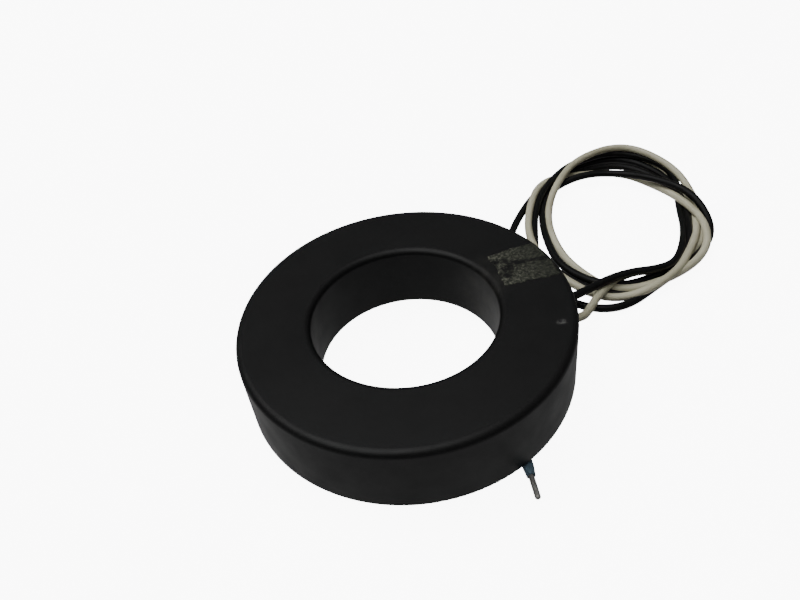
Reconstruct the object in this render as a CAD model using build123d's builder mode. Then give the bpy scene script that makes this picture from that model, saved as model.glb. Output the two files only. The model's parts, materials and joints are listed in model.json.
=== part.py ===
from build123d import *
import os
from math import cos, pi, radians, sin, tan

os.makedirs("parts", exist_ok=True)

# Ring-type current transformer: a moulded ring that a conductor passes through, with the
# secondary winding cast inside it and two insulated leads in a loose coil beside it.
# Millimetres, origin at the middle of the window, +Z along the window's axis.

# Housing
outer_diameter = 114.3
window_diameter = 63.5
ring_height = 25.8
wall_draft_angle = 0.9
edge_round = 2.4
window_edge_round = 2.2
base_edge_round = 0.6
top_wall = 2.4
outer_wall = 2.4
window_wall = 2.0
cavity_corner_round = 1.0
cover_thickness = 2.0
cover_ledge = 0.8
cover_gap = 0.1
cover_edge_chamfer = 0.3

# Core and winding
lead_lane = 5.0
winding_margin = 0.9
winding_build = 1.6
winding_bed = 0.9
winding_corner_chamfer = 1.2
turn_count = 60
turn_width = 1.6
cap_wall = 0.8
cap_seam_gap = 0.2
assembly_gap = 0.05

# Joints between winding and leads
tail_diameter = 1.3
tail_bend = 1.3
tail_drop_inset = 2.0
splice_length = 5.0
sleeve_overlap = 1.2
sleeve_wall = 0.65

# Leads
lead_diameter = 3.2
hole_gap = 0.05
white_exit_angle = 4.5
black_exit_angle = 14.5
white_exit_run = 5.0
black_exit_run = 4.5
bend_share = 0.45

# Surface under the part: the ring leans on the black lead that runs beneath it
rest_gap = 0.55
rest_inset = 24.2
floor_turn_angle = 4.1

# Loose coil of both leads, an oval hoop lying on that surface beside the ring
coil_place = (39.2, 64.1)
coil_turn_angle = -20.0
coil_half_width = 40.5
coil_half_length = 53.5
coil_eye_half_width = 25.5
coil_eye_half_length = 37.0
coil_height = 10.4
coil_edge_chamfer = 2.6

# Collar and pin on each lead's end
collar_length = 5.4
collar_mouth_length = 2.0
collar_mouth_diameter = 3.7
collar_neck_diameter = 2.9
collar_edge_round = 0.12
lead_seat_depth = 3.0
pin_diameter = 1.9
pin_reach = 8.2
pin_tip_round = 0.8

overrun = 1.0

# Radii and levels that follow from the sizes above
top_radius = outer_diameter / 2
window_radius = window_diameter / 2
base_radius = top_radius + ring_height * tan(radians(wall_draft_angle))
top_level = ring_height / 2
base_level = -ring_height / 2

cavity_inner = window_radius + window_wall
cavity_outer = top_radius - outer_wall
cavity_top = top_level - top_wall
cavity_floor = base_level + cover_thickness

winding_inner = cavity_inner + winding_margin
winding_outer = cavity_outer - winding_margin
winding_top = cavity_top - winding_margin
winding_bottom = cavity_floor + lead_lane

cap_inner = winding_inner + winding_build
cap_outer = winding_outer - winding_build
cap_top = winding_top - winding_build
cap_bottom = winding_bottom + winding_build
core_clear = cap_wall + assembly_gap
core_middle = (cap_top + cap_bottom) / 2

bed_inner = cap_inner - assembly_gap
bed_outer = cap_outer + assembly_gap
bed_top = cap_top + assembly_gap
bed_bottom = cap_bottom - assembly_gap

lead_radius = lead_diameter / 2
lead_level = cavity_floor + lead_lane / 2
tail_drop = bed_inner - winding_bed + tail_diameter
splice_inner = tail_drop + tail_drop_inset
splice_outer = splice_inner + splice_length
exit_angles = {"white": white_exit_angle, "black": black_exit_angle}

floor_slope = (lead_diameter + rest_gap) / (base_radius + top_radius - rest_inset)
floor_turn = radians(floor_turn_angle)
coil_turn = radians(coil_turn_angle)


def on_floor(outward, along, lift):
    """Point lifted off the surface that the ring leans down to, outward from the ring's +X side."""
    x = top_radius + outward
    downhill = x * cos(floor_turn) - along * sin(floor_turn)
    return Vector(x, along, base_level - floor_slope * (base_radius + downhill) + lift)


def at_exit(colour, radius):
    """Point on the straight line along which a lead leaves the housing."""
    angle = radians(exit_angles[colour])
    return Vector(radius * cos(angle), radius * sin(angle), lead_level)


def exit_plane(colour, radius):
    """Plane across that line, facing outwards."""
    angle = radians(exit_angles[colour])
    return Plane(origin=at_exit(colour, radius), x_dir=(0, 0, 1), z_dir=(cos(angle), sin(angle), 0))


def band(inner, outer, bottom, top, mode=Mode.ADD):
    """Rectangle in a ring's section, between two radii and two levels."""
    with Locations(((inner + outer) / 2, (bottom + top) / 2)):
        Rectangle(outer - inner, top - bottom, mode=mode)


def bend_radii(name, points):
    """Radius of the largest arc that each corner of a route has room for."""
    radii = []
    for before, corner, after in zip(points, points[1:], points[2:]):
        run_in = corner - before
        run_out = after - corner
        turn = radians(run_in.get_angle(run_out))
        radii.append(bend_share * min(run_in.length, run_out.length) / tan(turn / 2))
    print(name, "bend radii", [round(radius, 1) for radius in radii])
    return radii


def finish(piece, name):
    """Label a finished piece and write it out."""
    piece.part.label = name
    export_step(piece.part, f"parts/{name}.step")


# Housing: roof, outer wall and window wall in one moulding, open below, where a step in both
# walls takes the cover. The window wall is a true cylinder, the outer wall has draft.
with BuildPart() as case_shell:
    with BuildSketch(Plane.XZ) as section:
        with BuildLine():
            Polyline(
                (window_radius, base_level),
                (window_radius, top_level),
                (top_radius, top_level),
                (base_radius, base_level),
                close=True,
            )
        make_face()
        fillet(section.vertices().group_by(Axis.X)[0], radius=window_edge_round)
        fillet(section.vertices().group_by(Axis.Y)[-1].sort_by(Axis.X)[-1], radius=edge_round)
        fillet(section.vertices().group_by(Axis.Y)[0].sort_by(Axis.X)[-1], radius=base_edge_round)
    revolve(axis=Axis.Z)
    with BuildSketch(Plane.XZ) as cavity:
        band(cavity_inner, cavity_outer, base_level - overrun, cavity_top)
        fillet(cavity.vertices().group_by(Axis.Y)[-1], radius=cavity_corner_round)
    revolve(axis=Axis.Z, mode=Mode.SUBTRACT)
    with BuildSketch(Plane.XY.offset(base_level - overrun)):
        Circle(cavity_outer + cover_ledge)
        Circle(cavity_inner - cover_ledge, mode=Mode.SUBTRACT)
    extrude(amount=cover_thickness + overrun, mode=Mode.SUBTRACT)
    for colour in exit_angles:
        with BuildSketch(exit_plane(colour, cavity_outer - overrun)):
            Circle(lead_radius + hole_gap)
        extrude(amount=base_radius - cavity_outer + 2 * overrun, mode=Mode.SUBTRACT)
finish(case_shell, "case_shell")

# Cover: flat ring in the step at the foot of the walls, flush with them
with BuildPart() as base_cover:
    with BuildSketch(Plane.XY.offset(base_level)):
        Circle(cavity_outer + cover_ledge - cover_gap)
        Circle(cavity_inner - cover_ledge + cover_gap, mode=Mode.SUBTRACT)
    extrude(amount=cover_thickness)
    chamfer(base_cover.faces().sort_by(Axis.Z)[0].edges(), length=cover_edge_chamfer)
finish(base_cover, "base_cover")

# Core: electrical steel strip wound into a plain toroid
with BuildPart() as wound_core:
    with BuildSketch(Plane.XZ):
        band(cap_inner + core_clear, cap_outer - core_clear, cap_bottom + core_clear, cap_top - core_clear)
    revolve(axis=Axis.Z)
finish(wound_core, "wound_core")

# Insulating caps: two shallow channels that close over the core from above and below
upper_seam = core_middle + cap_seam_gap / 2
lower_seam = core_middle - cap_seam_gap / 2
for name, bottom, top in (("upper", upper_seam, cap_top), ("lower", cap_bottom, lower_seam)):
    with BuildPart() as core_cap:
        with BuildSketch(Plane.XZ):
            band(cap_inner, cap_outer, bottom, top)
            band(
                cap_inner + cap_wall,
                cap_outer - cap_wall,
                cap_bottom + cap_wall,
                cap_top - cap_wall,
                mode=Mode.SUBTRACT,
            )
        revolve(axis=Axis.Z)
    finish(core_cap, f"core_cap_{name}")

# Bare ends of the winding: down from its underside, then out to each crimp barrel
with BuildPart() as winding_tails:
    for colour in exit_angles:
        drop = at_exit(colour, tail_drop)
        start = Vector(drop.X, drop.Y, winding_bottom + winding_build - winding_bed / 2)
        with BuildLine() as tail_route:
            FilletPolyline(start, drop, at_exit(colour, splice_inner), radius=tail_bend)
        with BuildSketch(Plane(origin=start, z_dir=(0, 0, -1))):
            Circle(tail_diameter / 2)
        sweep(path=tail_route.line)

# Winding: turns laid radially round the capped core, bedded in one layer of varnish
with BuildPart() as secondary_winding:
    with BuildSketch(Plane.XZ):
        band(
            bed_inner - winding_bed,
            bed_outer + winding_bed,
            bed_bottom - winding_bed,
            bed_top + winding_bed,
        )
        band(bed_inner, bed_outer, bed_bottom, bed_top, mode=Mode.SUBTRACT)
    revolve(axis=Axis.Z)
    with BuildSketch(Plane.XZ) as turn:
        band(winding_inner, winding_outer, winding_bottom, winding_top)
        chamfer(turn.vertices(), length=winding_corner_chamfer)
        band(
            bed_inner - winding_bed / 2,
            bed_outer + winding_bed / 2,
            bed_bottom - winding_bed / 2,
            bed_top + winding_bed / 2,
            mode=Mode.SUBTRACT,
        )
    one_turn = extrude(amount=turn_width / 2, both=True, mode=Mode.PRIVATE)
    with PolarLocations(0, turn_count):
        add(one_turn)
    add(winding_tails.part)
finish(secondary_winding, "secondary_winding")

# Crimp barrel and insulating sleeve at the inner end of each lead
for colour in exit_angles:
    with BuildPart() as splice_barrel:
        with BuildSketch(exit_plane(colour, splice_inner)):
            Circle(lead_radius)
        extrude(amount=splice_length)
    finish(splice_barrel, f"splice_barrel_{colour}")

for colour in exit_angles:
    with BuildPart() as splice_sleeve:
        with BuildSketch(exit_plane(colour, splice_inner - sleeve_overlap)):
            Circle(lead_radius + assembly_gap + sleeve_wall)
            Circle(lead_radius + assembly_gap, mode=Mode.SUBTRACT)
        extrude(amount=splice_length + 2 * sleeve_overlap)
    finish(splice_sleeve, f"splice_sleeve_{colour}")

# Casting compound: fills the housing round the winding, splices and leads
with BuildPart() as potting_fill:
    with BuildSketch(Plane.XZ) as section:
        band(cavity_inner, cavity_outer, cavity_floor, cavity_top)
        fillet(section.vertices().group_by(Axis.Y)[-1], radius=cavity_corner_round)
        band(
            winding_inner - assembly_gap,
            winding_outer + assembly_gap,
            winding_bottom - assembly_gap,
            winding_top + assembly_gap,
            mode=Mode.SUBTRACT,
        )
    revolve(axis=Axis.Z)
    for colour in exit_angles:
        with BuildSketch(exit_plane(colour, splice_inner - sleeve_overlap)):
            Circle(lead_radius + assembly_gap + sleeve_wall)
        extrude(amount=splice_length + 2 * sleeve_overlap, mode=Mode.SUBTRACT)
        with BuildSketch(exit_plane(colour, splice_outer)):
            Circle(lead_radius)
        extrude(amount=cavity_outer - splice_outer + overrun, mode=Mode.SUBTRACT)
    add(winding_tails.part, mode=Mode.SUBTRACT)
finish(potting_fill, "potting_fill")

# Coil of the two leads: its outer shape, one closed hoop
with BuildPart() as lead_coil:
    hoop_plane = Plane(
        origin=on_floor(*coil_place, 0),
        x_dir=(cos(coil_turn), sin(coil_turn), -floor_slope * cos(coil_turn + floor_turn)),
        z_dir=(floor_slope * cos(floor_turn), -floor_slope * sin(floor_turn), 1),
    )
    with BuildSketch(hoop_plane):
        Ellipse(coil_half_width, coil_half_length)
        Ellipse(coil_eye_half_width, coil_eye_half_length, mode=Mode.SUBTRACT)
    extrude(amount=coil_height)
    chamfer(lead_coil.edges().filter_by(GeomType.ELLIPSE), length=coil_edge_chamfer)
finish(lead_coil, "lead_coil")

# Stretches of lead outside the coil, each a route of points from one end to the other
white_tail_route = [
    at_exit("white", splice_outer),
    at_exit("white", base_radius + white_exit_run),
    on_floor(11.6, 13.4, 7.2),
    on_floor(18.8, 20.9, 5.6),
]
black_tail_route = [
    at_exit("black", splice_outer),
    at_exit("black", base_radius + black_exit_run),
    on_floor(13.8, 22.2, 7.4),
    on_floor(23.4, 26.0, 7.8),
]
black_end_route = [
    on_floor(11.4, 95.5, 1.65),
    on_floor(3.4, 85.0, 1.65),
    on_floor(-4.2, 72.5, 1.65),
    on_floor(-10.6, 58.5, 1.65),
    on_floor(-16.2, 43.0, 1.65),
    on_floor(-20.2, 26.5, 1.65),
    on_floor(-22.8, 9.5, 1.65),
    on_floor(-24.8, -8.0, 1.65),
    on_floor(-26.0, -24.0, 1.65),
    on_floor(-26.3, -38.0, 1.75),
    on_floor(-25.9, -49.4, 1.95),
]
white_end_route = [
    on_floor(74.0, 87.5, 1.65),
    on_floor(73.4, 101.2, 1.75),
    on_floor(67.8, 112.2, 1.95),
    on_floor(59.8, 117.6, 2.1),
]

routes = {
    "white_lead_tail": white_tail_route,
    "black_lead_tail": black_tail_route,
    "white_lead_end": white_end_route,
    "black_lead_end": black_end_route,
}
lead_ends = {}
for name, points in routes.items():
    with BuildPart() as lead:
        with BuildLine() as route:
            FilletPolyline(*points, radius=bend_radii(name, points))
        with BuildSketch(Plane(origin=points[0], z_dir=points[1] - points[0])):
            Circle(lead_radius)
        sweep(path=route.line)
        straight_volume = lead_radius**2 * pi * route.wire().length
        print(name, "length", round(route.wire().length, 1))
        print(name, "volume over section times length", round(lead.part.volume / straight_volume, 4))
        add(lead_coil.part, mode=Mode.SUBTRACT)
    lead_ends[name] = Plane(origin=points[-1], z_dir=points[-1] - points[-2])
    finish(lead, name)

# End fitting on each lead: a flared collar over the insulation and a tinned pin
for colour in exit_angles:
    lead_end = lead_ends[f"{colour}_lead_end"].offset(-lead_seat_depth)
    profile_plane = Plane(origin=lead_end.origin, x_dir=lead_end.x_dir, z_dir=-lead_end.y_dir)
    fitting_axis = Axis(lead_end.origin, lead_end.z_dir)
    with BuildPart() as end_collar:
        with BuildSketch(profile_plane):
            with BuildLine():
                Polyline(
                    (lead_radius + assembly_gap, 0),
                    (collar_mouth_diameter / 2, 0),
                    (collar_mouth_diameter / 2, collar_mouth_length),
                    (collar_neck_diameter / 2, collar_length),
                    (pin_diameter / 2 + assembly_gap, collar_length),
                    (pin_diameter / 2 + assembly_gap, lead_seat_depth),
                    (lead_radius + assembly_gap, lead_seat_depth),
                    close=True,
                )
            make_face()
        revolve(axis=fitting_axis)
        mouth_rim = end_collar.faces().sort_by(fitting_axis)[0].edges().sort_by(SortBy.RADIUS)[-1]
        fillet(mouth_rim, radius=collar_edge_round)
    finish(end_collar, f"{colour}_end_collar")
    with BuildPart() as end_pin:
        with BuildSketch(profile_plane):
            with BuildLine():
                Polyline(
                    (0, lead_seat_depth),
                    (pin_diameter / 2, lead_seat_depth),
                    (pin_diameter / 2, collar_length + pin_reach),
                    (0, collar_length + pin_reach),
                    close=True,
                )
            make_face()
        revolve(axis=fitting_axis)
        pin_tip = end_pin.faces().sort_by(fitting_axis)[-1]
        fillet(pin_tip.edges(), radius=pin_tip_round)
    finish(end_pin, f"{colour}_end_pin")
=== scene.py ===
import json
from math import cos, radians, sin

import bpy
import numpy as np
from mathutils import Matrix, Vector


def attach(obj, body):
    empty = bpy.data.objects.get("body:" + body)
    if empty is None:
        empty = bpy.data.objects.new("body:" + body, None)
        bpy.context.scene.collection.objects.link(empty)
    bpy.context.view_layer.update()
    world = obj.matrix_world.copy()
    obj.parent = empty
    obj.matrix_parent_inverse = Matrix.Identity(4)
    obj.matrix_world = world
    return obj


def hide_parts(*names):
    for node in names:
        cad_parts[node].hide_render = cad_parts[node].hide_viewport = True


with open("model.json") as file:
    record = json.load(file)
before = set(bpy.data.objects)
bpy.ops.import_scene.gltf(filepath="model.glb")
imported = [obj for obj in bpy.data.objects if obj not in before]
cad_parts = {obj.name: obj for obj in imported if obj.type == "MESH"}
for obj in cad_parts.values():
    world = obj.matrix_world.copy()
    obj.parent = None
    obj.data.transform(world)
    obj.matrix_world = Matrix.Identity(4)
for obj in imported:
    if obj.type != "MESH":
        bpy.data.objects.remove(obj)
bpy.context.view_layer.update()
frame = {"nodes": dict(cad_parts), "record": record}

MM = 0.001

# Sizes and places shared with the solids: lengths in millimetres, the slope as drop over run
top_radius = 57.15
window_radius = 31.75
base_radius = 57.555
top_level = 12.9
base_level = -12.9
edge_round = 2.4
window_edge_round = 2.2
lead_level = -8.4
lead_diameter = 3.2
splice_outer = 43.6
exit_angles = {"white": radians(4.5), "black": radians(14.5)}
exit_runs = {"white": 5.0, "black": 4.5}
floor_slope = 0.041434
floor_turn = radians(4.1)

# Lift of a lead's middle line where the lead lies on the floor, with a small gap below it
floor_gap = 0.05
lying = lead_diameter / 2 + floor_gap

# Loose coil: its middle, outward from the ring and along, how far its long axis is turned, and
# the angle of its first point and the step to the next, in degrees
coil_middle = (40.85, 68.8)
coil_turn = radians(-20)
first_turn_angle = 330
turn_step = 30

# Remains of the label: corners on the top face as radius and angle in degrees, centre and reach
# of each place where the film is torn off, how far the film stands above the face and sinks below
# it, and how far its torn edge waves in and out as a share of the way from the middle
label_corners = np.array([[[38.1, 35.0], [34.1, 7.4]], [[56.7, 28.0], [56.4, 6.4]]])
torn_places = [
    ((36.0, 17.9), (4.6, 1.8)),
    ((42.4, 16.3), (5.6, 1.5)),
    ((50.2, 16.4), (5.6, 1.3)),
    ((38.6, 13.9), (4.2, 2.0)),
    ((37.0, 10.8), (3.2, 2.4)),
]
label_film = 0.09
label_sink = 0.05
label_tear_share = 0.05

# Marks on the housing: a painted sheen, lighter grey-brown, on the window's right inner wall and a
# scuff on top, each with its centre and reach
painted_sheen_place = ((30.0, 11.0, -1.0), (15, 19, 19))
scuffed_place = ((49.4, -15.3, top_level), (2.6, 1.5, 1.0))


def on_floor(outward, along, lift):
    """Point lifted off the sloping floor, measured outward from the ring's +X side."""
    x = top_radius + outward
    downhill = x * cos(floor_turn) - along * sin(floor_turn)
    return (x, along, base_level - floor_slope * (base_radius + downhill) + lift)


def at_exit(colour, radius):
    """Point on the straight line along which a lead leaves the housing."""
    angle = exit_angles[colour]
    return (radius * cos(angle), radius * sin(angle), lead_level)


# Textures and finishes


def new_finish(name):
    """Material with its node tree, its shader and the place on the object that textures follow."""
    finish = bpy.data.materials.new(name)
    finish.use_nodes = True
    tree = finish.node_tree
    place = tree.nodes.new("ShaderNodeTexCoord").outputs["Object"]
    return finish, tree, tree.nodes["Principled BSDF"], place


def cloud(tree, place, size, detail=3.0, rough=0.5):
    """Noise with blotches about that many millimetres across."""
    noise = tree.nodes.new("ShaderNodeTexNoise")
    noise.inputs["Scale"].default_value = 1 / (size * MM)
    noise.inputs["Detail"].default_value = detail
    noise.inputs["Roughness"].default_value = rough
    tree.links.new(place, noise.inputs["Vector"])
    return noise.outputs["Fac"]


def spot(tree, place, centre, reach):
    """Soft spot: 1 at its centre, falling evenly to 0 at its reach, both in millimetres."""
    placing = tree.nodes.new("ShaderNodeMapping")
    placing.vector_type = "TEXTURE"
    placing.inputs["Location"].default_value = [size * MM for size in centre]
    placing.inputs["Scale"].default_value = [size * MM for size in reach]
    ball = tree.nodes.new("ShaderNodeTexGradient")
    ball.gradient_type = "SPHERICAL"
    tree.links.new(place, placing.inputs["Vector"])
    tree.links.new(placing.outputs["Vector"], ball.inputs["Vector"])
    return ball.outputs["Fac"]


def shades(tree, texture, *stops):
    """Colours that a texture runs through, each with the texture's value where it is reached."""
    ramp = tree.nodes.new("ShaderNodeValToRGB")
    steps = ramp.color_ramp.elements
    steps[0].position, steps[0].color = stops[0][0], (*stops[0][1], 1)
    steps[1].position, steps[1].color = stops[-1][0], (*stops[-1][1], 1)
    for value, colour in stops[1:-1]:
        steps.new(value).color = (*colour, 1)
    tree.links.new(texture, ramp.inputs["Fac"])
    return ramp.outputs["Color"]


def between(tree, texture, low, high, start=0.0, stop=1.0):
    """Number that runs from low to high as a texture runs from start to stop."""
    span = tree.nodes.new("ShaderNodeMapRange")
    span.inputs["From Min"].default_value = start
    span.inputs["From Max"].default_value = stop
    span.inputs["To Min"].default_value = low
    span.inputs["To Max"].default_value = high
    tree.links.new(texture, span.inputs["Value"])
    return span.outputs["Result"]


def both(tree, first, second):
    """Product of two textures."""
    product = tree.nodes.new("ShaderNodeMath")
    product.operation = "MULTIPLY"
    tree.links.new(first, product.inputs[0])
    tree.links.new(second, product.inputs[1])
    return product.outputs["Value"]


def over(tree, mask, under, upper):
    """Colour laid over another one where a mask shows."""
    layer = tree.nodes.new("ShaderNodeMix")
    layer.data_type = "RGBA"
    tree.links.new(mask, layer.inputs["Factor"])
    tree.links.new(under, layer.inputs["A"])
    layer.inputs["B"].default_value = (*upper, 1)
    return layer.outputs["Result"]


def relief(tree, shader, texture, depth):
    """Raise the surface by a texture, to that depth in millimetres."""
    bump = tree.nodes.new("ShaderNodeBump")
    bump.inputs["Distance"].default_value = depth * MM
    tree.links.new(texture, bump.inputs["Height"])
    tree.links.new(bump.outputs["Normal"], shader.inputs["Normal"])


def mottled(name, dark, light, patch, gloss, grain, depth, specular=0.5, metal=0.0):
    """Finish that drifts between two colours and two roughnesses, over a fine grain.

    The patches of the drift, and the grain and its depth, are in millimetres.
    """
    finish, tree, shader, place = new_finish(name)
    drift = cloud(tree, place, patch)
    tree.links.new(shades(tree, drift, (0.35, dark), (0.65, light)), shader.inputs["Base Color"])
    tree.links.new(between(tree, drift, *gloss, 0.3, 0.7), shader.inputs["Roughness"])
    relief(tree, shader, cloud(tree, place, grain), depth)
    shader.inputs["Specular IOR Level"].default_value = specular
    shader.inputs["Metallic"].default_value = metal
    return finish


def moulded_housing():
    """Satin black moulding with faint wear, a scuff on top and a painted sheen on one side of the
    window.
    """
    finish, tree, shader, place = new_finish("moulded_housing")
    drift = cloud(tree, place, 45)
    colour = shades(tree, drift, (0.35, (0.0026, 0.0026, 0.0028)), (0.65, (0.0036, 0.0036, 0.0037)))
    specks = between(tree, cloud(tree, place, 1.4, 6, 0.7), 0, 0.35, 0.66, 0.78)
    colour = over(tree, specks, colour, (0.010, 0.010, 0.0095))
    # Painted sheen: a soft lighter grey-brown patch on the window's right inner wall, standing in for
    # light glancing off that wall
    painted_sheen = both(
        tree,
        between(tree, spot(tree, place, *painted_sheen_place), 0, 1, 0.0, 0.5),
        between(tree, cloud(tree, place, 5, 5, 0.65), 0.15, 1, 0.4, 0.65),
    )
    colour = over(tree, painted_sheen, colour, (0.016, 0.0155, 0.013))
    scuff = both(
        tree,
        between(tree, spot(tree, place, *scuffed_place), 0, 1, 0.1, 0.6),
        between(tree, cloud(tree, place, 1.1, 4, 0.6), 0, 1, 0.45, 0.62),
    )
    colour = over(tree, scuff, colour, (0.07, 0.07, 0.068))
    tree.links.new(colour, shader.inputs["Base Color"])
    polish = between(tree, cloud(tree, place, 9, 4), 0.40, 0.50, 0.3, 0.7)
    tree.links.new(polish, shader.inputs["Roughness"])
    relief(tree, shader, cloud(tree, place, 0.5, 2), 0.004)
    shader.inputs["Specular IOR Level"].default_value = 0.4
    return finish


def wound_steel():
    """Bare steel whose strip edges show as fine rings round the window."""
    finish, tree, shader, place = new_finish("wound_steel")
    strip = tree.nodes.new("ShaderNodeTexWave")
    strip.wave_type = "RINGS"
    strip.rings_direction = "Z"
    strip.inputs["Scale"].default_value = 520
    strip.inputs["Distortion"].default_value = 0.4
    tree.links.new(place, strip.inputs["Vector"])
    edges = strip.outputs["Fac"]
    tree.links.new(
        shades(tree, edges, (0.1, (0.20, 0.20, 0.21)), (0.7, (0.46, 0.46, 0.48))),
        shader.inputs["Base Color"],
    )
    relief(tree, shader, edges, 0.05)
    shader.inputs["Metallic"].default_value = 1
    shader.inputs["Roughness"].default_value = 0.38
    return finish


def label_residue():
    """Paper and glue left by a torn label: olive film, pale flecks, bare housing where it is gone."""
    finish, tree, shader, place = new_finish("label_residue")
    bare = (0.0035, 0.0035, 0.0035)
    across = tree.nodes.new("ShaderNodeUVMap")
    across.uv_map = "label"
    sides = tree.nodes.new("ShaderNodeSeparateXYZ")
    tree.links.new(across.outputs["UV"], sides.inputs["Vector"])
    fibres = cloud(tree, place, 1.6, 9, 0.72)
    colour = shades(
        tree,
        fibres,
        (0.36, bare),
        (0.46, (0.0090, 0.0100, 0.0074)),
        (0.58, (0.0165, 0.0180, 0.0130)),
    )
    flecks = both(
        tree,
        between(tree, cloud(tree, place, 1.0, 8, 0.75), 0, 1, 0.46, 0.62),
        between(tree, sides.outputs["X"], 0.75, 0.24, 0.15, 0.8),
    )
    colour = over(tree, flecks, colour, (0.118, 0.122, 0.094))
    ragged = between(tree, cloud(tree, place, 2.2, 6, 0.65), 0, 1, 0.36, 0.50)
    for centre, reach in torn_places:
        torn = between(tree, spot(tree, place, (*centre, top_level), (*reach, 2)), 0, 1, 0.05, 0.35)
        colour = over(tree, both(tree, torn, ragged), colour, bare)
    tree.links.new(colour, shader.inputs["Base Color"])
    tree.links.new(between(tree, fibres, 0.55, 0.85, 0.3, 0.7), shader.inputs["Roughness"])
    relief(tree, shader, fibres, 0.05)
    shader.inputs["Specular IOR Level"].default_value = 0.25
    return finish


finishes = {
    "housing": moulded_housing(),
    "cover": mottled(
        "moulded_cover",
        dark=(0.007, 0.007, 0.0074),
        light=(0.011, 0.011, 0.011),
        patch=30,
        gloss=(0.5, 0.62),
        grain=0.6,
        depth=0.008,
        specular=0.3,
    ),
    "potting": mottled(
        "cast_compound",
        dark=(0.014, 0.013, 0.012),
        light=(0.026, 0.024, 0.022),
        patch=8,
        gloss=(0.12, 0.3),
        grain=2.5,
        depth=0.05,
    ),
    "core_steel": wound_steel(),
    "core_cap": mottled(
        "cap_nylon",
        dark=(0.60, 0.58, 0.50),
        light=(0.72, 0.70, 0.62),
        patch=14,
        gloss=(0.45, 0.6),
        grain=0.8,
        depth=0.01,
    ),
    "winding_copper": mottled(
        "enamelled_copper",
        dark=(0.40, 0.13, 0.045),
        light=(0.58, 0.22, 0.085),
        patch=3,
        gloss=(0.2, 0.34),
        grain=1.2,
        depth=0.01,
        metal=0.9,
    ),
    "tinned_metal": mottled(
        "dull_tin",
        dark=(0.23, 0.23, 0.215),
        light=(0.35, 0.35, 0.33),
        patch=2.5,
        gloss=(0.45, 0.6),
        grain=0.9,
        depth=0.02,
        metal=0.6,
    ),
    "sleeve": mottled(
        "shrunk_sleeve",
        dark=(0.55, 0.52, 0.42),
        light=(0.66, 0.63, 0.52),
        patch=5,
        gloss=(0.35, 0.5),
        grain=0.7,
        depth=0.01,
    ),
    "lead_white": mottled(
        "ivory_insulation",
        dark=(0.35, 0.333, 0.235),
        light=(0.43, 0.413, 0.305),
        patch=16,
        gloss=(0.36, 0.5),
        grain=0.5,
        depth=0.006,
        specular=0.4,
    ),
    "lead_black": mottled(
        "black_insulation",
        dark=(0.002, 0.0021, 0.0022),
        light=(0.0032, 0.0032, 0.0033),
        patch=12,
        gloss=(0.36, 0.5),
        grain=0.5,
        depth=0.006,
        specular=0.3,
    ),
    "collar_blue": mottled(
        "blue_collar",
        dark=(0.086, 0.143, 0.186),
        light=(0.126, 0.204, 0.260),
        patch=3,
        gloss=(0.35, 0.5),
        grain=0.6,
        depth=0.008,
        specular=0.4,
    ),
}
for subpart in frame["record"]["subparts"]:
    holder = frame["nodes"][subpart["node"]].material_slots[0]
    holder.link = "OBJECT"
    holder.material = finishes[subpart["material_slot"]]

# Leads


def loose_turns(turns):
    """Points of a lead's turns, each a reach from the coil's middle and a lift off the floor."""
    points = []
    for count, (reach, lift) in enumerate(turns):
        angle = radians(first_turn_angle + turn_step * count) + coil_turn
        outward = coil_middle[0] + reach * cos(angle)
        along = coil_middle[1] + reach * sin(angle)
        points.append(on_floor(outward, along, lift))
    return points


def lay_lead(colour, tail, turns, end):
    """One insulated lead: a round section carried along an open spline through its route."""
    route = [at_exit(colour, splice_outer), at_exit(colour, base_radius + exit_runs[colour])]
    route += [on_floor(*point) for point in tail]
    route += loose_turns(turns)
    route += [on_floor(*point) for point in end]
    line = bpy.data.curves.new(f"{colour}_lead", "CURVE")
    line.dimensions = "3D"
    line.resolution_u = 10
    line.bevel_depth = lead_diameter / 2 * MM
    line.bevel_resolution = 6
    line.use_fill_caps = True
    line.materials.append(finishes[f"lead_{colour}"])
    spline = line.splines.new("NURBS")
    spline.points.add(len(route) - 1)
    for point, place in zip(spline.points, route):
        point.co = (*(size * MM for size in place), 1)
    spline.order_u = 3
    spline.use_endpoint_u = True
    lead = bpy.data.objects.new(f"{colour}_lead", line)
    bpy.context.collection.objects.link(lead)
    return lead


# Routes: tail out of the housing, turns of the coil, far end
black_lead = lay_lead(
    "black",
    tail=[
        (13.8, 22.2, 7.4),
        (23.4, 26.0, 8.2),
        (32.6, 28.0, 8.2),
        (40.6, 29.2, 7.0),
        (48.4, 32.0, 5.6),
        (54.0, 36.6, 4.6),
    ],
    turns=[
        (29.7, 3.8),
        (26.9, lying), (28.9, lying), (46.8, 4.2), (52.0, 4.8), (43.5, 6.0), (37.7, 4.6),
        (36.1, 2.6), (39.1, lying), (58.4, lying), (60.8, lying), (40.0, lying), (37.2, lying),
        (39.0, lying), (35.4, 7.1), (28.8, 8.3), (31.8, 4.9), (33.2, 5.1), (35.9, 2.2),
        (33.2, lying), (34.2, lying), (43.0, 2.2), (47.6, 3.6), (38.3, 2.8), (31.2, lying),
        (29.8, lying), (32.2, lying), (42.4, lying), (51.9, lying), (44.6, lying), (40.0, lying),
        (38.8, lying), (41.8, lying), (46.4, lying), (50.8, lying), (42.0, 2.4), (32.8, 3.4),
        (28.6, 2.8), (31.6, 2.2), (38.6, lying), (45.1, lying), (40.6, lying),
    ],
    end=[
        (11.4, 95.5, lying),
        (3.4, 85.0, lying),
        (-4.2, 72.5, lying),
        (-10.6, 58.5, lying),
        (-16.2, 43.0, lying),
        (-20.2, 26.5, lying),
        (-22.8, 9.5, lying),
        (-24.8, -8.0, lying),
        (-26.0, -24.0, lying),
        (-26.3, -38.0, 1.75),
        (-25.9, -49.4, 1.95),
    ],
)
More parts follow.
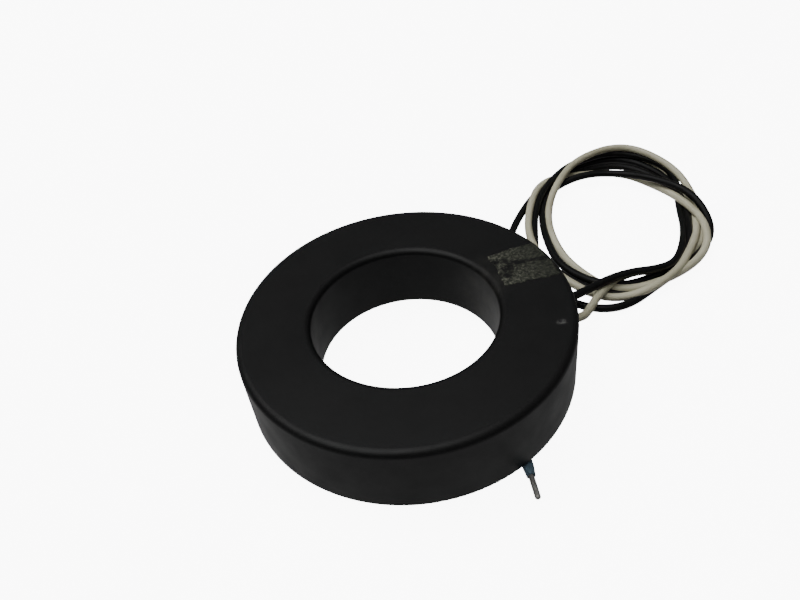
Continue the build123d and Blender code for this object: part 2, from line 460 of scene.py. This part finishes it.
white_lead = lay_lead(
    "white",
    tail=[
        (10.9, 12.2, 6.0),
        (16.8, 20.5, 5.0),
        (23.8, 27.0, 4.6),
        (33.2, 32.0, 4.2),
        (42.6, 33.4, 2.8),
        (50.8, 36.4, lying),
    ],
    turns=[
        (35.3, lying),
        (35.5, lying), (36.9, 3.3), (45.2, 6.7), (53.1, 8.1), (41.9, 8.3), (33.2, 5.6),
        (30.5, 2.1), (31.4, lying), (37.8, lying), (49.8, 3.4), (42.6, 3.2), (40.2, 4.8),
        (35.3, 4.8), (29.8, 5.1), (30.8, 3.0), (37.5, lying), (37.6, 1.9), (41.0, 4.8),
        (38.7, 4.0), (42.0, 3.0), (48.6, 3.4), (54.2, lying), (43.7, 5.0), (33.7, 5.0),
        (32.1, 2.4), (34.6, lying),
    ],
    end=[
        (74.0, 87.5, lying),
        (73.4, 101.2, 1.75),
        (67.8, 112.2, 1.95),
        (59.8, 117.6, 2.1),
    ],
)
for colour, lead in (("black", black_lead), ("white", white_lead)):
    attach(lead, "root")
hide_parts("lead_coil", "black_lead_tail", "black_lead_end")
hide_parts("white_lead_tail", "white_lead_end")

# Remains of the label on the top face


def face_level(radius):
    """Height of the housing's top at a radius: flat, and a quarter circle down at either edge."""
    outside = np.clip(radius - (top_radius - edge_round), 0, edge_round)
    inside = np.clip(window_radius + window_edge_round - radius, 0, window_edge_round)
    outer_drop = edge_round - np.sqrt(edge_round**2 - outside**2)
    inner_drop = window_edge_round - np.sqrt(window_edge_round**2 - inside**2)
    return top_level - outer_drop - inner_drop


def faces_between(rows, turns, first=0):
    """Four-sided faces from each closed row of points to the next, from a first point on."""
    row = first + np.arange(rows - 1)[:, None] * turns
    here = np.arange(turns)[None, :]
    after = (here + 1) % turns
    corners = np.stack([row + here, row + turns + here, row + turns + after, row + after], axis=-1)
    return corners.reshape(-1, 4)


def torn_label(turns=180, rings=14):
    """Thin film on the top face.

    A square is swept by angle and by share of the way out, its edge waved in and out by three
    sines of the angle, and laid into the four-cornered patch. It runs out along the film's upper
    side, turns at the edge and comes back below the face, so that it is closed.
    """
    outward = np.concatenate([np.linspace(0, 1, rings), np.linspace(1, 0, rings)[1:]])
    lift = np.concatenate([np.full(rings - 1, label_film), np.full(rings, -label_sink)])
    angle = np.linspace(0, 2 * np.pi, turns, endpoint=False)
    tear = np.sin(7 * angle) + 0.8 * np.sin(17 * angle + 1.1) + 0.7 * np.sin(41 * angle + 2.3)
    tear_most = 1 + 0.8 + 0.7
    square = np.maximum(np.abs(np.cos(angle)), np.abs(np.sin(angle)))
    edge = (1 - label_tear_share + label_tear_share * tear / tear_most) / square
    share = outward[1:-1, None] * edge[None, :]
    u = np.concatenate([[0.5], (0.5 + share * np.cos(angle) / 2).ravel(), [0.5]])
    v = np.concatenate([[0.5], (0.5 + share * np.sin(angle) / 2).ravel(), [0.5]])
    corner = label_corners[..., None, :]
    polar = (
        corner[0, 0] * ((1 - u) * (1 - v))[:, None]
        + corner[0, 1] * ((1 - u) * v)[:, None]
        + corner[1, 0] * (u * (1 - v))[:, None]
        + corner[1, 1] * (u * v)[:, None]
    )
    radius, turned = polar[:, 0], np.radians(polar[:, 1])
    rise = np.concatenate([lift[:1], np.repeat(lift[1:-1], turns), lift[-1:]])
    height = face_level(radius) + rise
    points = MM * np.column_stack([radius * np.cos(turned), radius * np.sin(turned), height])

    here = np.arange(turns)
    after = (here + 1) % turns
    last = len(points) - 1
    upper_fan = np.column_stack([1 + after, 1 + here, np.zeros(turns, int)])
    lower_fan = np.column_stack([last - turns + here, last - turns + after, np.full(turns, last)])
    rows = faces_between(len(outward) - 2, turns, first=1)[:, ::-1]
    faces = [*upper_fan.tolist(), *rows.tolist(), *lower_fan.tolist()]

    sheet = bpy.data.meshes.new("torn_label")
    sheet.from_pydata(points, [], faces)
    places = sheet.uv_layers.new(name="label")
    corner_points = np.empty(len(sheet.loops), dtype=np.int32)
    sheet.loops.foreach_get("vertex_index", corner_points)
    places.data.foreach_set("uv", np.column_stack([u, v])[corner_points].ravel().astype(np.float32))
    sheet.polygons.foreach_set("use_smooth", np.ones(len(sheet.polygons), dtype=bool))
    sheet.materials.append(label_residue())
    label = bpy.data.objects.new("torn_label", sheet)
    bpy.context.collection.objects.link(label)
    return label


label = torn_label()
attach(label, "root")

# Floor: the sloping plane that the ring, leaning on its lead, and the coil lie on


def plain_paint(name, shade, glow):
    """Grey paint without gloss, which can give off light of its own."""
    paint = bpy.data.materials.new(name)
    paint.use_nodes = True
    shader = paint.node_tree.nodes["Principled BSDF"]
    shader.inputs["Base Color"].default_value = (shade, shade, shade, 1)
    shader.inputs["Roughness"].default_value = 0.9
    shader.inputs["Specular IOR Level"].default_value = 0
    shader.inputs["Emission Color"].default_value = (1, 1, 1, 1)
    shader.inputs["Emission Strength"].default_value = glow
    return paint


floor_reach = 2500
floor_corners = [
    Vector(on_floor(x - top_radius, y, 0)) * MM
    for x, y in (
        (-floor_reach, -floor_reach),
        (floor_reach, -floor_reach),
        (floor_reach, floor_reach),
        (-floor_reach, floor_reach),
    )
]
floor_mesh = bpy.data.meshes.new("floor")
floor_mesh.from_pydata(floor_corners, [], [(0, 1, 2, 3)])
floor_paint = plain_paint("floor_paint", shade=0.9, glow=9)
floor_mesh.materials.append(floor_paint)
floor = bpy.data.objects.new("floor", floor_mesh)
floor.visible_glossy = False
floor.visible_diffuse = False
bpy.context.collection.objects.link(floor)


def backdrop_wall(radius=2400, foot=-400, top=3600, turns=96, levels=8):
    """Round wall that ends the floor: a circle swept upward, with its foot below the floor."""
    angle = np.linspace(0, 2 * np.pi, turns, endpoint=False)
    rise = np.linspace(foot, top, levels)
    circle = np.column_stack([radius * np.cos(angle), radius * np.sin(angle)])
    points = MM * np.column_stack([np.tile(circle, (levels, 1)), np.repeat(rise, turns)])
    wall_mesh = bpy.data.meshes.new("backdrop_wall")
    wall_mesh.from_pydata(points, [], faces_between(levels, turns).tolist())
    wall_mesh.materials.append(floor_paint)
    return bpy.data.objects.new("backdrop_wall", wall_mesh)


wall = backdrop_wall()
wall.visible_glossy = False
wall.visible_diffuse = False
wall.visible_shadow = False
bpy.context.collection.objects.link(wall)

# Pale card in the floor's place, which only throws light back up
card_mesh = floor_mesh.copy()
card_mesh.materials[0] = plain_paint("card_paint", shade=0.55, glow=0)
card = bpy.data.objects.new("bounce_card", card_mesh)
card.visible_camera = False
card.visible_glossy = False
card.visible_shadow = False
bpy.context.collection.objects.link(card)

# Studio light: dim round the horizon, lighter above and below, and lightest low at the back left.
# Each grey comes with its height, from 0 straight down to 1 straight up
surround_greys = ((0.2, 0.35), (0.38, 0.12), (0.55, 0.05), (0.8, 0.145))
lightest_way = (-0.4, 0.6, -0.7)
world = bpy.data.worlds.new("studio")
bpy.context.scene.world = world
world.use_nodes = True
studio = world.node_tree
surround = studio.nodes["Background"]
sight = studio.nodes.new("ShaderNodeTexCoord").outputs["Generated"]
height = studio.nodes.new("ShaderNodeSeparateXYZ")
studio.links.new(sight, height.inputs["Vector"])
brightness = shades(
    studio,
    between(studio, height.outputs["Z"], 0, 1, -1, 1),
    *((level, (grey, grey, grey)) for level, grey in surround_greys),
)
studio.links.new(brightness, surround.inputs["Color"])
bright_side = studio.nodes.new("ShaderNodeVectorMath")
bright_side.operation = "DOT_PRODUCT"
bright_side.inputs[1].default_value = lightest_way
studio.links.new(sight, bright_side.inputs[0])
side_glow = between(studio, bright_side.outputs["Value"], 1, 1.7, 0.86, 0.99)
studio.links.new(side_glow, surround.inputs["Strength"])


def soft_box(name, place, size, power, gleams):
    """Square area light that faces the ring, and either shows in glossy surfaces or doesn't."""
    lamp = bpy.data.lights.new(name, "AREA")
    lamp.size = size
    lamp.energy = power
    light = bpy.data.objects.new(name, lamp)
    light.location = place
    light.rotation_euler = (-Vector(place)).to_track_quat("-Z", "Y").to_euler()
    light.visible_glossy = gleams
    bpy.context.collection.objects.link(light)


soft_box("overhead_light", place=(-0.4, 0.35, 1.2), size=1.0, power=17, gleams=False)
soft_box("sheen_light", place=(-0.45, -0.1, 1.25), size=1.5, power=9.5, gleams=True)

# Camera: where the photograph was taken from, looking along +Y, tilted down and rolled
camera_place = (-0.000708, -0.173805, 0.179162)
camera_tilt = radians(42.785258)
camera_roll = radians(8.375276)
camera_turn = Matrix.Rotation(radians(90) - camera_tilt, 4, "X") @ Matrix.Rotation(-camera_roll, 4, "Z")
lens = bpy.data.cameras.new("camera")
lens.lens = 32.375
lens.sensor_width = 36
lens.clip_start = 0.01
camera = bpy.data.objects.new("camera", lens)
camera.matrix_world = Matrix.Translation(camera_place) @ camera_turn
bpy.context.collection.objects.link(camera)
bpy.context.scene.camera = camera
